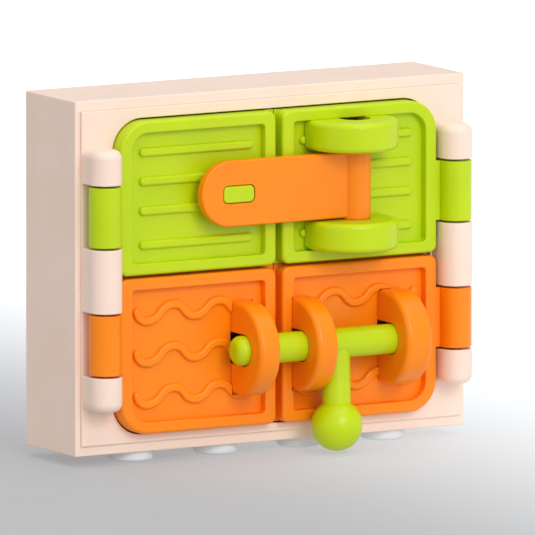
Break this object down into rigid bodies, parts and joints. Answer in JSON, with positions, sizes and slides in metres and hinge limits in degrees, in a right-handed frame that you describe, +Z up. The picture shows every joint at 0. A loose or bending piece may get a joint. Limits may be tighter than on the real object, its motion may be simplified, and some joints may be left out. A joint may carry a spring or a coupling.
{
  "type": "activity board",
  "caption": "Upright toddler activity box with small hinged doors held shut by a swinging hasp and a sliding bolt, with storage behind the doors.",
  "frame": {"origin": "centre of the footprint, on the surface that the feet stand on", "axes": "+X to the viewer's right along the width, +Z up, the doors face -Y"},
  "size_m": [0.25, 0.0961, 0.205],
  "materials": {
    "cream_plastic": "satin moulded plastic",
    "green_plastic": "satin moulded plastic",
    "orange_plastic": "satin moulded plastic",
    "steel": "plain steel",
    "foot_rubber": "pale soft rubber"
  },
  "bodies": {
    "case": {"case_body": "cream_plastic", "front_frame": "cream_plastic", "rear_cover": "cream_plastic", "rear_cover_screws": "steel", "middle_shelf": "cream_plastic", "upright_divider": "cream_plastic", "feet_front": "foot_rubber", "feet_rear": "foot_rubber", "hinge_block_left_top": "cream_plastic", "hinge_block_left_middle": "cream_plastic", "hinge_block_left_bottom": "cream_plastic", "hinge_block_right_top": "cream_plastic", "hinge_block_right_middle": "cream_plastic", "hinge_block_right_bottom": "cream_plastic", "hinge_block_screws": "steel", "hinge_pin_left": "steel", "hinge_pin_right": "steel"},
    "upper_left_door": {"door_upper_left": "green_plastic", "lock_tab": "green_plastic", "tab_screws": "steel"},
    "upper_right_door": {"door_upper_right": "green_plastic", "hasp_ring_lower": "green_plastic", "hasp_ring_upper": "green_plastic", "hasp_ring_screws": "steel"},
    "lower_left_door": {"door_lower_left": "orange_plastic", "bolt_ring_left": "orange_plastic", "bolt_ring_screws_left": "steel"},
    "lower_right_door": {"door_lower_right": "orange_plastic", "bolt_ring_middle": "orange_plastic", "bolt_ring_right": "orange_plastic", "bolt_ring_screws_right": "steel"},
    "hasp": {"hasp_arm": "orange_plastic"},
    "bolt": {"bolt_rod": "green_plastic"},
    "bolt_grip": {"bolt_handle": "green_plastic", "handle_ball": "green_plastic"}
  },
  "joints": [
    {"name": "upper_right_door_hinge", "type": "hinge", "parent": "case", "child": "upper_right_door", "pos_m": [0.1125, -0.0198, 0.1414], "axis": [0, 0, 1], "range_deg": [0, 105]},
    {"name": "hasp_pivot", "type": "hinge", "parent": "upper_right_door", "child": "hasp", "pos_m": [0.0463, -0.02235, 0.14975], "axis": [0, 0, 1], "range_deg": [0, 165]},
    {"name": "upper_left_door_hinge", "type": "hinge", "parent": "case", "child": "upper_left_door", "pos_m": [-0.1125, -0.0198, 0.1414], "axis": [0, 0, -1], "range_deg": [0, 66]},
    {"name": "lower_left_door_hinge", "type": "hinge", "parent": "case", "child": "lower_left_door", "pos_m": [-0.1125, -0.0198, 0.0696], "axis": [0, 0, -1], "range_deg": [0, 0.25]},
    {"name": "lower_right_door_hinge", "type": "hinge", "parent": "case", "child": "lower_right_door", "pos_m": [0.1125, -0.0198, 0.0696], "axis": [0, 0, 1], "range_deg": [0, 0.15]},
    {"name": "bolt_slide", "type": "slide", "parent": "lower_right_door", "child": "bolt", "axis": [1, 0, 0], "range_m": [0, 0.026]},
    {"name": "bolt_grip_swing", "type": "hinge", "parent": "bolt", "child": "bolt_grip", "pos_m": [0.0304, -0.02815, 0.0614], "axis": [-1, 0, 0], "range_deg": [0, 120]}
  ],
  "couplings": [
    {"joint": "upper_left_door_hinge", "follows": "hasp_pivot", "ratio": 0.4}
  ]
}
